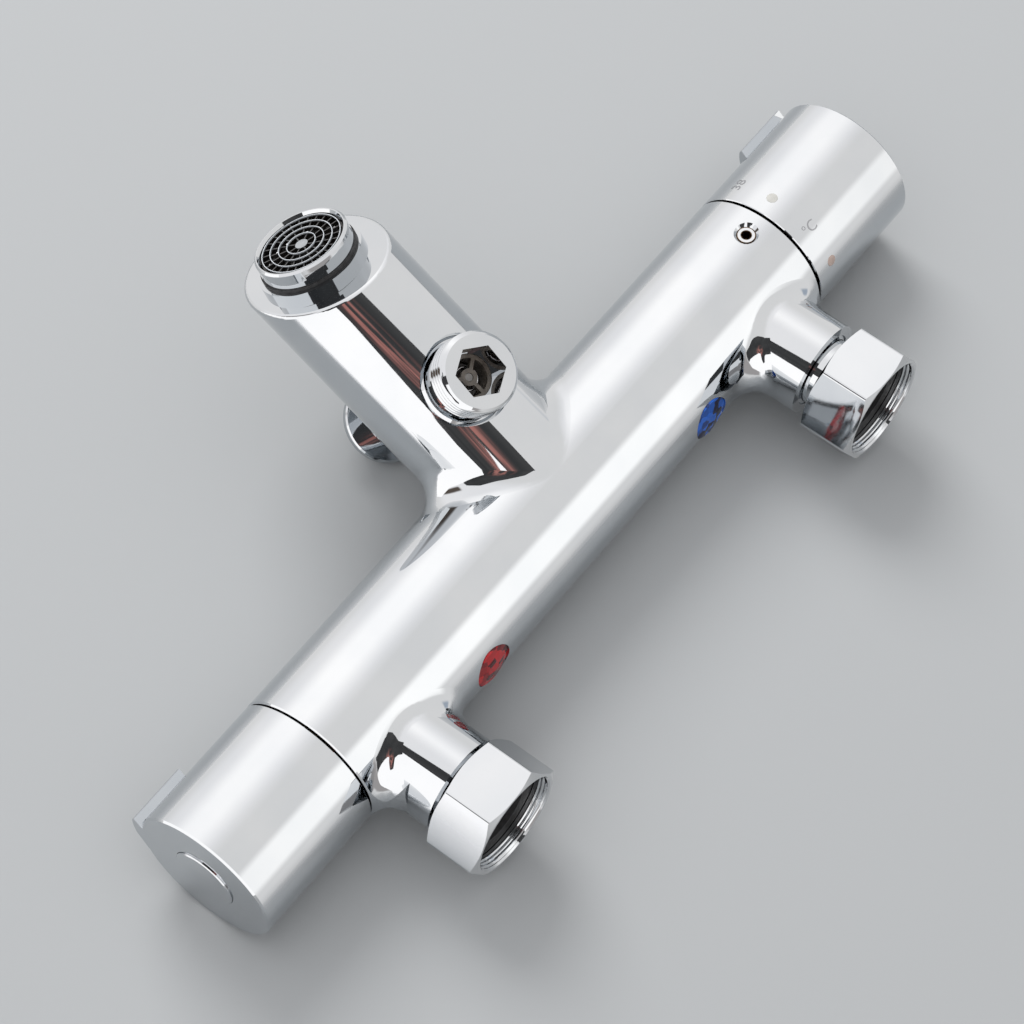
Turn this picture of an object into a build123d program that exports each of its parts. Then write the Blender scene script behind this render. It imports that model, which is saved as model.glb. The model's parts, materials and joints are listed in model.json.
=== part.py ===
from build123d import *
import os
from math import cos, radians, sin, sqrt, tan

# Exposed bath and shower mixing valve with a temperature handle, a flow handle and a pull diverter.
# Millimetres, +Z up as fitted to a wall. The origin is midway between the two inlets, on the plane
# of their sealing faces. +X points to the temperature handle and cold inlet, -Y to the user.

# Bar and handles
bar_r = 20.0
bar_half = 92.5
wall_reach = 43.7
seam = 0.6
handle_r = 19.95
handle_len = 38.6
handle_wall = 2.15
handle_end_wall = 3.2
cap_r = 8.7
cap_proud = 0.5
cap_seat = 1.5
edge_round = 0.5
end_bevel = 0.4
fin_len = 16.8
fin_proud = 2.5
fin_lip = 4.5

# Inlets
inlet_spacing = 150.0
neck_r = 13.1
neck_end = 33.3
neck_blend = 7.0
shank_r = 9.4
shank_thread_r = 10.4
shank_thread_len = 10.0
flange_r = 12.0
flange_thick = 3.0
nut_across_flats = 29.0
nut_len = 15.2
nut_corner_r = 1.0
nut_at = 34.7
nut_wall = 3.0
nut_thread_r = 13.22
nut_relief_r = 13.55
nut_travel = 2.6
washer_r = 13.1
washer_hole_r = 8.6
washer_thick = 1.5
inlet_bore_r = 6.0
check_r = 7.6
check_travel = 2.2

# Spout and diverter
spout_slope = 30.0
spout_r = 18.8
spout_len = 82.7
spout_blend = 8.0
spout_bore_r = 13.5
stream_tilt = 30.0
diverter_at = 38.0
outlet_reach = 27.5
outlet_thread_r = 10.48
outlet_face_r = 9.4
outlet_socket = 12.0
socket_deep = 7.0
socket_turn = 26.0
spotface_r = 11.8
spotface_at = 14.8
chamber_r = 9.0
chamber_low = 7.0
chamber_high = 4.5
valve_r = 7.8
valve_thick = 3.2
stem_r = 2.5
knob_reach = 37.5
knob_r = 11.5
knob_disc = 2.7
knob_sleeve_r = 8.5

# Aerator
aerator_offset = 0.8
collar_r = 14.2
collar_high = 2.0
aerator_r = 12.7
aerator_high = 7.6
aerator_thread_r = 11.6
grille_r = 11.3
grille_rings = (10.7, 8.5, 6.2, 3.9)
grille_ribs = (26, 20, 14, 8)
grille_hub_r = 1.7
grille_line = 0.4
rib_line = 0.32
rib_drop = 0.45
grille_deep = 1.4

# Cartridges
flow_bore_r = 11.5
flow_bore_end = 58.0
core_r = 10.5
mix_bore_r = 15.5
mix_bore_end = 26.0
duct_inner_r = 12.9
duct_outer_r = 17.0
duct_half_angle = 45.0
duct_mix_end = 40.0
duct_flow_end = 84.0
tube_r = 6.5
tube_wall = 1.2
spindle_r = 4.9
handle_screw_r = 2.4
adaptor_r = 17.3
adaptor_hub_r = 8.6
adaptor_at = 20.0
adaptor_thick = 2.5
adaptor_foot = 14.0
ring_at = 33.0
ring_section = 0.9
temperature_range = 270.0
stop_rib_span = 30.0

# Small pieces and clearances
index_at = 45.0
index_r = 6.0
index_tilt = -4.0
index_deep = 2.0
index_rise = 0.6
index_table = 2.4
index_facets = 8
grub_from_end = 6.8
grub_r = 2.45
grub_point_r = 1.1
fit = 0.05
slack = 0.3

# Values that follow from the driving dimensions
bar_y = -wall_reach
spout_dir = Vector(0, -cos(radians(spout_slope)), -sin(radians(spout_slope)))
outlet_dir = Vector(0, sin(radians(spout_slope)), -cos(radians(spout_slope)))
stream_dir = Vector(0, -sin(radians(stream_tilt)), -cos(radians(stream_tilt)))
across = Vector(1, 0, 0)
bar_centre = Vector(0, bar_y, 0)
spout_end = bar_centre + spout_dir * spout_len
end_up = Vector(0, -cos(radians(stream_tilt)), sin(radians(stream_tilt)))
inlet_x = inlet_spacing / 2
grub_at = bar_half - grub_from_end
handle_end = seam + handle_len
cavity_r = handle_r - handle_wall
cavity_end = handle_end - handle_end_wall
spindle_end = cavity_end - 6.6
screw_seat = cavity_end - 1.7
knob_travel = chamber_low + chamber_high - valve_thick - slack


def along_bar(x, side=1):
    """Plane across the bar at x, looking out to one side."""
    return Plane(origin=(x, bar_y, 0), x_dir=(0, side, 0), z_dir=(side, 0, 0))


def inlet_plane(side):
    """Plane across an inlet through the bar's axis, looking to the wall."""
    return Plane(origin=(side * inlet_x, bar_y, 0), x_dir=(1, 0, 0), z_dir=(0, 1, 0))


def spout_plane(at=0.0):
    """Plane across the spout, looking along it."""
    return Plane(origin=bar_centre + spout_dir * at, x_dir=across, z_dir=spout_dir)


outlet_plane = Plane(origin=bar_centre + spout_dir * diverter_at, x_dir=across, z_dir=outlet_dir)
knob_plane = Plane(origin=outlet_plane.origin, x_dir=across, z_dir=-outlet_dir)
end_plane = Plane(origin=spout_end, x_dir=across, z_dir=stream_dir)
aerator_plane = Plane(origin=spout_end + end_up * aerator_offset, x_dir=across, z_dir=stream_dir)


def turned(outline, plane):
    """Solid turned from an outline of (radius, height) points about a plane's normal."""
    wire = Polyline(*[(r, 0, h) for r, h in outline], close=True)
    return plane.location * revolve(make_face(wire), Axis.Z)


def rod(plane, radius, low, high):
    """Cylinder between two heights over a plane."""
    return plane.offset(low) * Cylinder(radius, high - low, align=(Align.CENTER, Align.CENTER, Align.MIN))


def tube(plane, outer, inner, low, high):
    """Ring between two heights over a plane."""
    return turned([(inner, low), (outer, low), (outer, high), (inner, high)], plane)


def prism(plane, across_flats, low, high, turn=0.0, corner_r=0.0):
    """Hexagonal bar between two heights over a plane, with rounded corners where they are asked for."""
    outline = RegularPolygon(across_flats / sqrt(3), 6, rotation=turn)
    if corner_r:
        outline = fillet(outline.vertices(), corner_r)
    return plane.offset(low) * extrude(outline, high - low)


def slab(plane, long, wide, low, high, shift=(0, 0), turn=0.0):
    """Rectangular block between two heights over a plane."""
    outline = Rot(0, 0, turn) * Pos(shift[0], shift[1]) * Rectangle(long, wide)
    return plane.offset(low) * extrude(outline, high - low)


def o_rings(plane, places):
    """Rings of round section, each given as (mean radius, section radius, height)."""
    rings = [plane.offset(high) * Torus(mean, section) for mean, section, high in places]
    return Compound(children=rings)


def coil(plane, mean_r, wire_r, low, high, turns):
    """Compression spring with its ends seated at two heights over a plane."""
    rise = high - low - 2 * wire_r
    path = Helix(pitch=rise / turns, height=rise, radius=mean_r)
    section = Plane(origin=path @ 0, z_dir=path % 0) * Circle(wire_r)
    return plane.offset(low + wire_r) * sweep(section, path)


def double_flat(plane, radius, low, high, across_flats):
    """Round bar with two flats."""
    return rod(plane, radius, low, high) & slab(plane, across_flats, 4 * radius, low, high)


# Body casting

def blended_casting():
    """Bar, spout and necks run together with fillets, before any hole."""
    long_half = bar_half + neck_r
    bar = rod(along_bar(-long_half), bar_r, 0, 2 * long_half)
    spout = rod(spout_plane(), spout_r, 0, spout_len + spout_r * tan(radians(90 - spout_slope - stream_tilt)))
    shape = bar + spout
    shape = fillet(joint_edges(shape), spout_blend)
    for side in (-1, 1):
        shape = shape + rod(inlet_plane(side), neck_r, 0, neck_end)
        edges = [e for e in joint_edges(shape) if abs(e.center().X - side * inlet_x) < neck_r + 1
                 and e.center().Y > bar_y]
        shape = fillet(edges, neck_blend)
    shape = shape & rod(along_bar(-bar_half), 2 * spout_len, 0, 2 * bar_half)
    for side in (-1, 1):
        bevel = [(bar_r - end_bevel, 0), (bar_r + neck_blend, 0), (bar_r + neck_blend, -end_bevel - neck_blend)]
        shape = shape - turned(bevel, along_bar(side * bar_half, side))
    return shape


def joint_edges(shape):
    """Edges where two round parts of the casting meet."""
    return [e for e in shape.edges() if e.geom_type not in (GeomType.LINE, GeomType.CIRCLE)]


def valve_body():
    casting = blended_casting()
    cut = end_plane * Cylinder(3 * spout_r, 2 * spout_r, align=(Align.CENTER, Align.CENTER, Align.MIN))
    casting = casting - cut
    rim = [e for e in casting.edges() if e.geom_type == GeomType.ELLIPSE]
    casting = fillet(rim, 1.0)
    casting = casting + rod(aerator_plane, collar_r, -4.0, collar_high)
    holes = [
        rod(along_bar(-bar_half), flow_bore_r, -1, bar_half - flow_bore_end),
        rod(along_bar(-flow_bore_end), core_r, -1, flow_bore_end + mix_bore_end + 1),
        rod(along_bar(mix_bore_end), mix_bore_r, 0, bar_half - mix_bore_end + 1),
        hot_duct(),
        rod(spout_plane(), spout_bore_r, 0, diverter_at - chamber_r - 3.0),
        rod(spout_plane(), chamber_high + 1.0, 0, diverter_at),
        rod(spout_plane(), spout_bore_r, diverter_at + chamber_r + 3.0, spout_len - spout_r * 0.55),
        rod(aerator_plane, aerator_thread_r + fit, -9.0, collar_high + 1),
        rod(outlet_plane, chamber_r, -chamber_high, spotface_at + 1),
        rod(outlet_plane, spotface_r, spotface_at, spout_r + 5),
        rod(knob_plane, valve_r - 1.8, 0, chamber_high + 2.0),
        rod(knob_plane, knob_sleeve_r - 0.2, chamber_high + 2.0, spout_r + 5),
        rod(spout_plane(), 3.2, diverter_at, diverter_at + chamber_r + 6.0).moved(
            Location(tuple(-outlet_dir * (chamber_high + 6.0)))),
        rod(grub_plane(), grub_r + fit, mix_bore_r - 3, bar_r + 1),
        turned([(0, bar_r - 1.0), (grub_r + fit, bar_r - 1.0), (grub_r + 1.2, bar_r + 0.2), (0, bar_r + 0.2)],
               grub_plane()),
    ]
    for side in (-1, 1):
        inner = duct_inner_r if side < 0 else 0
        holes.append(rod(inlet_plane(side), inlet_bore_r, inner + 1.0, neck_end + 1))
        holes.append(rod(inlet_plane(side), shank_thread_r + fit, neck_end - shank_thread_len - 0.4, neck_end + 1))
        holes.append(rod(index_plane(side), index_r + 0.1, bar_r - index_deep, bar_r + 3))
    for hole in holes:
        casting = casting - hole
    return casting


def hot_duct():
    """Cast channel that carries hot water along the wall side of the bar."""
    ring = tube(along_bar(-duct_flow_end), duct_outer_r, duct_inner_r, 0, duct_flow_end + duct_mix_end)
    half = duct_outer_r * tan(radians(duct_half_angle))
    wedge = Polyline((0, 0), (duct_outer_r, -half), (duct_outer_r, half), close=True)
    return ring & along_bar(-duct_flow_end) * extrude(make_face(wedge), duct_flow_end + duct_mix_end)


def grub_plane():
    return Plane(origin=(grub_at, bar_y, 0), x_dir=(1, 0, 0), z_dir=(0, 0, -1))


def index_plane(side):
    tilt = radians(index_tilt)
    return Plane(origin=(side * index_at, bar_y, 0), x_dir=(1, 0, 0), z_dir=(0, cos(tilt), sin(tilt)))


def grub_screw():
    body = turned([(0, mix_bore_r - 0.9), (grub_point_r, mix_bore_r - 0.9), (grub_point_r, mix_bore_r + 0.1),
                   (grub_r, mix_bore_r + 0.6), (grub_r, bar_r - 0.9), (0, bar_r - 0.9)], grub_plane())
    return body - prism(grub_plane(), 2.5, bar_r - 3.0, bar_r)


def index_insert(side):
    """Coloured button cut like a jewel: a flat table and a ring of facets."""
    plane = index_plane(side)
    edge = bar_r - 0.5
    disc = rod(plane, index_r, bar_r - index_deep, edge)
    girdle = plane.offset(edge) * RegularPolygon(index_r / cos(radians(180 / index_facets)), index_facets)
    table = plane.offset(edge + index_rise) * RegularPolygon(index_table, index_facets)
    crown = loft([girdle.face(), table.face()])
    return disc + (crown & rod(plane, index_r, edge - 1, edge + index_rise + 1))


# Handles

def fin(plane):
    """Grip fin on the user's side of a handle: a steep lip below and a long slope above."""
    low = plane.origin.X
    front = handle_r + fin_proud
    with BuildSketch(Plane.YZ) as section:
        with BuildLine():
            Polyline((-handle_r + 2.4, -0.4), (-front + 0.6, -fin_lip), (-front, 1.0 - fin_lip))
            ThreePointArc((-front, 1.0 - fin_lip), (-front + 0.2, 0.0), (-front + 1.0, 2.8))
            ThreePointArc((-front + 1.0, 2.8), (-front + 2.5, 4.9), (-front + 4.2, 7.4))
            Polyline((-front + 4.2, 7.4), (-handle_r + 6.0, 6.0), (-handle_r + 2.4, -0.4))
        make_face()
    grip = extrude(section.sketch, fin_len)
    start = bar_half + handle_end - fin_len
    place = start if low > 0 else -start - fin_len
    return Pos(place, bar_y, 0) * grip


def handle(side):
    plane = along_bar(side * bar_half, side)
    shell = turned([
        (0, handle_end - cap_seat), (cap_r + 0.1, handle_end - cap_seat), (cap_r + 0.1, handle_end),
        (handle_r - edge_round, handle_end), (handle_r, handle_end - edge_round), (handle_r, seam + 0.2),
        (handle_r - 0.2, seam), (cavity_r, seam), (cavity_r, cavity_end), (8.0, cavity_end),
        (8.0, spindle_end + slack), (0, spindle_end + slack)], plane)
    shell = shell + (fin(plane) - rod(plane, handle_r - 0.5, 0, handle_end + 1))
    shell = shell - rod(plane, handle_screw_r + 0.3, spindle_end, handle_end)
    shell = shell - rod(plane, 4.8, screw_seat, handle_end)
    for turn in (45, 135, 225, 315):
        rib = slab(plane, cavity_r - 15.0 + 0.3, 2.4, 16.0, cavity_end, ((cavity_r + 15.3) / 2, 0), turn)
        shell = shell + rib
    return shell


def handle_cap(side):
    plane = along_bar(side * bar_half, side)
    seat = handle_end - cap_seat + fit
    top = handle_end + cap_proud
    return turned([
        (0, handle_end - 0.2), (cap_r - 2.0, handle_end - 0.2), (cap_r - 2.0, seat), (cap_r, seat),
        (cap_r, top - 0.25), (cap_r - 0.25, top), (0, top)], plane)


def handle_screw(side):
    plane = along_bar(side * bar_half, side)
    head = rod(plane, 4.2, screw_seat + fit, screw_seat + 2.8)
    shank = rod(plane, handle_screw_r, spindle_end - 9.0, screw_seat + fit)
    return head + shank - prism(plane, 3.0, screw_seat + 1.0, screw_seat + 3.0)


def adaptor(side):
    """Splined sleeve that carries the handle on its spindle."""
    plane = along_bar(side * bar_half, side)
    hub = rod(plane, adaptor_hub_r, adaptor_foot, spindle_end)
    plate = rod(plane, adaptor_r, adaptor_at, adaptor_at + adaptor_thick)
    body = hub + plate
    for turn in (45, 135, 225, 315):
        body = body - slab(plane, 6.0, 2.8, adaptor_at - 1, adaptor_at + adaptor_thick + 1, (adaptor_r + 0.7, 0), turn)
    hole = double_flat(plane, spindle_r + fit, adaptor_foot - 1, spindle_end + 1, 2 * spindle_r - 1.6 + 2 * fit)
    return body - hole


# Temperature cartridge, with heights measured from the bar's end and negative inside the bar

mix_plane = along_bar(bar_half)
flow_plane = along_bar(-bar_half, -1)
mix_depth = bar_half - mix_bore_end
cold_at = bar_half - inlet_x
land_r = mix_bore_r - fit
cold_low = -cold_at - inlet_bore_r
cold_high = -cold_at + inlet_bore_r
hot_high = duct_mix_end - bar_half
nose_end = -mix_depth - 6.0
inner_low = -mix_depth + 4.0
cup_r = 8.0
slide_low = -48.5
slide_high = -30.5
slide_r = 9.8


def temperature_cartridge_housing():
    groove = ring_section * 2 + 0.2
    floor = land_r - 2 * ring_section - fit
    shell = turned([
        (0, nose_end), (core_r - 1.5, nose_end), (core_r - fit - 0.2, nose_end + 1.0),
        (core_r - fit - 0.2, -mix_depth), (land_r, -mix_depth + 0.1), (land_r, -mix_depth + 2.0),
        (12.0, -mix_depth + 2.0), (12.0, hot_high + 2.0), (land_r, hot_high + 2.0),
        (land_r, -ring_at - groove / 2), (floor, -ring_at - groove / 2), (floor, -ring_at + groove / 2),
        (land_r, -ring_at + groove / 2), (land_r, cold_low - 1.0), (12.0, cold_low - 1.0),
        (12.0, cold_high + 0.6), (land_r, cold_high + 0.6), (land_r, cold_high + 1.0),
        (floor, cold_high + 1.0), (floor, cold_high + 1.0 + groove), (land_r, cold_high + 1.0 + groove),
        (land_r, grub_at - bar_half - 1.4), (14.2, grub_at - bar_half - 1.4),
        (14.2, grub_at - bar_half + 1.4), (land_r, grub_at - bar_half + 1.4), (land_r, -0.1),
        (15.2, 0.1), (15.2, 2.6), (9.5, 2.6), (9.5, 10.5), (0, 10.5)], mix_plane)
    shell = shell - turned([
        (0, nose_end - 1), (tube_r + fit, nose_end - 1), (tube_r + fit, inner_low - 1.0),
        (tube_r - 0.8, inner_low - 1.0), (tube_r - 0.8, inner_low), (slide_r + fit, inner_low),
        (slide_r + fit, -22.0), (cup_r + slack, -22.0), (cup_r + slack, -9.0),
        (spindle_r + 2.0, -9.0), (spindle_r + 2.0, -4.0), (spindle_r + fit, -4.0),
        (spindle_r + fit, 11.5), (0, 11.5)], mix_plane)
    for k in range(6):
        cold_port = Plane(origin=mix_plane.offset(-cold_at - 3.2).origin, x_dir=(1, 0, 0),
                          z_dir=(0, cos(radians(60 * k)), sin(radians(60 * k))))
        hot_port = Plane(origin=mix_plane.offset(-mix_depth + 8.0).origin, x_dir=(1, 0, 0),
                         z_dir=(0, cos(radians(60 * k)), sin(radians(60 * k))))
        shell = shell - rod(cold_port, 2.6, slide_r - 3, 13)
        shell = shell - rod(hot_port, 3.2, slide_r - 3, 13)
    hexagon = prism(mix_plane, 26.0, 2.5, 6.0)
    return shell + (hexagon - rod(mix_plane, 9.0, 2.0, 7.0))


def temperature_cartridge_orings():
    groove = ring_section * 2 + 0.2
    mean = mix_bore_r - fit / 2 - ring_section
    places = [(mean, ring_section, -ring_at), (mean, ring_section, cold_high + 1.0 + groove / 2)]
    return o_rings(mix_plane, places)


def temperature_stop_ring():
    """Ring on the cartridge's head with the lug that ends the handle's travel."""
    ring = tube(mix_plane, 15.3, 9.5 + fit, 6.1, 9.5)
    span = 360 - temperature_range - stop_rib_span - 1.0
    lug = sector(mix_plane, cavity_r - 0.4, 15.0, 6.1, 9.5, stop_centre(), span)
    return ring + lug


def stop_centre():
    """Angle of the stop lug's middle, from the handle's rib at rest."""
    return hot_turn + (360 - temperature_range) / 2


hot_turn = 110.0


def sector(plane, outer, inner, low, high, middle, span):
    """Part of a ring, centred on an angle that starts on the user's side."""
    ring = tube(plane, outer, inner, low, high)
    reach = 1.5 * outer
    a = radians(180 + middle - span / 2)
    b = radians(180 + middle + span / 2)
    mid = radians(180 + middle)
    fan = Polyline((0, 0), (reach * cos(a), reach * sin(a)), (1.5 * reach * cos(mid), 1.5 * reach * sin(mid)),
                   (reach * cos(b), reach * sin(b)), close=True)
    return ring & plane.offset(low) * extrude(make_face(fan), high - low)


def temperature_handle():
    rib = sector(mix_plane, cavity_r + 0.3, 15.6, 5.8, 9.9, 0.0, stop_rib_span)
    return handle(1) + rib


def temperature_spindle():
    bearing = spindle_r
    body = turned([
        (0, -19.6), (spindle_r - 0.6, -19.6), (spindle_r - 0.2, -18.8), (spindle_r - 0.2, -9.0),
        (spindle_r + 1.8, -8.8), (spindle_r + 1.8, -4.3), (bearing, -4.3), (bearing, 14.0), (0, 14.0)], mix_plane)
    end = double_flat(mix_plane, spindle_r, 13.9, spindle_end, 2 * spindle_r - 1.6)
    return body + end - rod(mix_plane, handle_screw_r + fit, spindle_end - 10.0, spindle_end + 1)


def regulating_nut():
    cup = turned([
        (0, -23.2), (5.5, -23.2), (cup_r, -21.4), (cup_r, -10.5), (spindle_r, -10.5), (spindle_r, -20.5),
        (0, -20.5)], mix_plane)
    return cup


def wax_element():
    return turned([
        (0, slide_low - 6.0), (2.6, slide_low - 6.0), (4.0, slide_low - 4.5), (4.0, slide_high - 3.2),
        (5.4, slide_high - 3.2), (5.4, slide_high - 0.6), (2.0, slide_high + 1.5), (2.0, -23.25), (0, -23.25)],
        mix_plane)


def regulating_slide():
    shell = tube(mix_plane, slide_r, slide_r - 1.6, slide_low, slide_high)
    web = tube(mix_plane, slide_r - 1.0, 4.0 + fit, slide_high - 5.4, slide_high - 3.25)
    body = shell + web
    for k in range(6):
        window = Plane(origin=mix_plane.origin, x_dir=mix_plane.x_dir, z_dir=mix_plane.z_dir)
        spot = Rot(0, 0, 60 * k) * Pos(6.2, 0)
        body = body - window.offset(slide_high - 6.0) * extrude(spot * Circle(1.4), 3.2)
    return body


def regulating_spring():
    return coil(mix_plane, 7.1, 0.6, inner_low + fit, slide_high - 5.4 - fit, 6)


# Flow cartridge

flow_depth = bar_half - flow_bore_end
disc_r = 8.6


def flow_cartridge_housing():
    """Headwork with a hexagon outside the bar and ports at its inner end."""
    outer_r = flow_bore_r - fit
    shell = turned([
        (0, -flow_depth + 4.3), (9.4, -flow_depth + 4.3), (9.4, -flow_depth + 16.0), (outer_r, -flow_depth + 17.5),
        (outer_r, -12.0), (outer_r - 1.85, -12.0), (outer_r - 1.85, -9.7), (outer_r, -9.7), (outer_r, 0.05),
        (15.0, 0.05), (15.0, 2.0), (7.5, 2.0), (7.5, 12.0), (0, 12.0)], flow_plane)
    shell = shell - turned([
        (0, -flow_depth + 3.0), (disc_r + fit, -flow_depth + 3.0), (disc_r + fit, -flow_depth + 17.0),
        (7.0, -flow_depth + 18.5), (7.0, -6.0), (spindle_r + fit, -6.0), (spindle_r + fit, 13.0), (0, 13.0)],
        flow_plane)
    for turn in (0, 90, 180, 270):
        port = Plane(origin=flow_plane.offset(-flow_depth + 11.5).origin, x_dir=(1, 0, 0),
                     z_dir=(0, cos(radians(turn)), sin(radians(turn))))
        shell = shell - rod(port, 2.4, 6.0, 12.0)
    hexagon = prism(flow_plane, 24.0, 1.9, 6.5)
    return shell + (hexagon - rod(flow_plane, 7.0, 1.0, 8.0))


def flow_cartridge_orings():
    section = 0.9
    return o_rings(flow_plane, [(flow_bore_r - fit / 2 - section, section, -10.85)])


def flow_disc_seal():
    return turned([
        (tube_r - tube_wall, -flow_depth + 0.6), (tube_r + 3.4, -flow_depth + 0.6), (tube_r + 3.4, -flow_depth + 4.2),
        (8.5, -flow_depth + 4.2), (8.5, -flow_depth + 5.2), (tube_r - tube_wall, -flow_depth + 5.2)], flow_plane)


def flow_disc(low):
    """Ceramic disc with two ports."""
    disc = rod(flow_plane, disc_r, low, low + 3.0)
    for side in (-1, 1):
        disc = disc - slab(flow_plane, 3.4, 5.0, low - 1, low + 4, (side * 4.2, 0))
    return disc


def flow_fixed_disc():
    return flow_disc(-flow_depth + 5.25)


def flow_moving_disc():
    low = -flow_depth + 8.3
    return flow_disc(low) - slab(flow_plane, 2.0, 2 * disc_r + 2, low + 2.0, low + 4)


def flow_spindle():
    low = -flow_depth + 11.6
    driver = rod(flow_plane, 6.8, low, low + 3.0)
    for turn in (0, 180):
        driver = driver + slab(flow_plane, 1.8, 5.0, low - 1.1, low + 0.1, (0, 5.0), turn)
    stem = rod(flow_plane, 6.8, low + 2.9, -6.3) + rod(flow_plane, spindle_r, -6.4, 14.0)
    end = double_flat(flow_plane, spindle_r, 13.9, spindle_end, 2 * spindle_r - 1.6)
    bore = rod(flow_plane, handle_screw_r + fit, spindle_end - 10.0, spindle_end + 1)
    return driver + stem + end - bore


def mixed_water_tube():
    low = -(flow_bore_end - 0.2)
    return tube(along_bar(0), tube_r, tube_r - tube_wall, low, mix_bore_end + 2.9)


# Inlet unions

def union_shank(side):
    """Threaded tail with the flange that a union nut pulls against."""
    plane = inlet_plane(side)
    back = wall_reach - flange_thick
    body = turned([
        (0, neck_end - shank_thread_len), (shank_thread_r - 0.6, neck_end - shank_thread_len),
        (shank_thread_r, neck_end - shank_thread_len + 0.6), (shank_thread_r, neck_end - 0.4),
        (shank_r, neck_end + 0.2), (shank_r, back), (flange_r, back), (flange_r, wall_reach), (0, wall_reach)], plane)
    bore = turned([
        (0, neck_end - shank_thread_len - 1), (5.6, neck_end - shank_thread_len - 1), (5.6, neck_end - 4.0),
        (check_r + fit, neck_end - 4.0), (check_r + fit, wall_reach + 1), (0, wall_reach + 1)], plane)
    return body - bore


nut_rest = {-1: nut_at, 1: nut_at + nut_travel}


def union_nut(side):
    """Hexagon nut with bevelled corners, open to the supply pipe."""
    plane = inlet_plane(side)
    back = nut_rest[side]
    front = back + nut_len
    corner = nut_across_flats / sqrt(3)
    flat = nut_across_flats / 2
    bevel = (corner - flat) * tan(radians(30))
    body = prism(plane, nut_across_flats, back, front, 3.0 if side < 0 else 0.0, nut_corner_r)
    envelope = turned([
        (0, back), (flat, back), (corner + 0.3, back + bevel), (corner + 0.3, front - bevel), (flat, front),
        (0, front)], plane)
    washer_back = washer_low(side)
    hollow = turned([
        (0, back - 1), (shank_r + slack, back - 1), (shank_r + slack, back + nut_wall),
        (nut_relief_r, back + nut_wall), (nut_relief_r, washer_back + washer_thick), (nut_thread_r, washer_back + washer_thick + 0.2),
        (nut_thread_r, front - 0.5), (nut_thread_r + 0.5, front), (nut_thread_r + 0.5, front + 1), (0, front + 1)], plane)
    return (body & envelope) - hollow


def washer_low(side):
    """Height of a seal washer's inner face: it keeps clear of the flange when the nut is drawn back."""
    return wall_reach + slack + nut_rest[side] - nut_rest[-1]


def seal_washer(side):
    low = washer_low(side)
    return tube(inlet_plane(side), washer_r, washer_hole_r, low, low + washer_thick)


def check_housing(plane, radius, low, high):
    """Cage of a check valve: an outer ring, a seat at the supply end and a guide on three arms."""
    ring = tube(plane, radius, radius - 1.0, low, high)
    seat = turned([(radius - 0.8, high - 2.0), (radius - 0.8, high), (radius - 2.6, high), (radius - 2.0, high - 2.0)],
                  plane)
    hub = tube(plane, 2.2, 1.1, low, low + 3.0)
    body = ring + seat + hub
    for turn in (90, 210, 330):
        reach = radius - 2.0
        body = body + slab(plane, reach, 1.0, low, low + 1.6, (1.6 + reach / 2, 0), turn)
    return body


def check_poppet(plane, radius, low, high):
    """Valve head that closes the seat, on a stem that slides in the guide."""
    head = radius - 2.2
    return turned([
        (0, low + 0.2), (1.0, low + 0.2), (1.0, high - 4.0), (head + 0.9, high - 3.6), (head + 0.9, high - 2.3),
        (head - 0.2, high - 2.3), (head - 0.6, high - 1.0), (0, high - 0.6)], plane)


def check_spring(plane, low, high):
    return coil(plane, 3.0, 0.3, low + 1.6 + fit, high - 4.0 - fit, 4)


check_low = neck_end - 3.9
check_high = wall_reach - 0.6


# Diverter, with heights measured from the spout's axis

def diverter_valve():
    """Double sided valve: its lower seal closes the hose outlet and its upper seal the spout."""
    top = -chamber_low + slack + valve_thick
    low = -chamber_low + slack
    return turned([
        (stem_r - 0.5, low), (valve_r - 1.0, low), (valve_r, low + 0.8), (valve_r, top - 0.8), (valve_r - 1.0, top),
        (stem_r - 0.5, top)], knob_plane)


def diverter_stem():
    low = -chamber_low + slack
    return turned([
        (0, low - 0.2), (stem_r - 0.55, low - 0.2), (stem_r - 0.55, low + valve_thick + fit), (stem_r, low + valve_thick + fit),
        (stem_r, knob_reach - 6.0), (stem_r - 0.5, knob_reach - 5.5), (stem_r - 0.5, knob_reach - 1.2), (0, knob_reach - 1.2)],
        knob_plane)


bonnet_foot = chamber_high + 8.5
guide_r = 5.4
guide_end = knob_reach - knob_disc - knob_travel - 5.4


def diverter_bonnet():
    """Plug that closes the spout over the diverter and guides its stem."""
    body = turned([
        (stem_r + fit, bonnet_foot), (knob_sleeve_r - 0.3, bonnet_foot), (knob_sleeve_r - 0.3, spout_r - 0.6),
        (guide_r, spout_r - 0.6), (guide_r, guide_end + 5.0), (stem_r + 1.4, guide_end + 5.0),
        (stem_r + 1.4, guide_end + 3.0), (stem_r + fit, guide_end + 3.0)], knob_plane)
    return body


def diverter_orings():
    section = 0.55
    return o_rings(knob_plane, [(stem_r + 0.06 + section, section, guide_end + 3.7)])


def diverter_knob():
    """Pull knob: a flat disc on a grooved sleeve that slides over the bonnet."""
    top = knob_reach
    under = knob_reach - knob_disc
    foot = spout_r + 0.7
    outline = [
        (0, top), (knob_r - 0.6, top), (knob_r, top - 0.6), (knob_r, under + 0.4), (knob_r - 0.4, under),
        (knob_sleeve_r, under)]
    for k in range(3):
        groove = foot + 2.2 + 3.2 * (2 - k)
        outline += [(knob_sleeve_r, groove + 0.5), (knob_sleeve_r - 0.35, groove + 0.25),
                    (knob_sleeve_r - 0.35, groove - 0.25), (knob_sleeve_r, groove - 0.5)]
    outline += [(knob_sleeve_r, foot), (guide_r + slack, foot), (guide_r + slack, under - 1.0),
                (stem_r - 0.5 + fit, under - 1.0), (stem_r - 0.5 + fit, top - 1.0), (0, top - 1.0)]
    return turned(outline, knob_plane)


# Hose outlet

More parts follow.
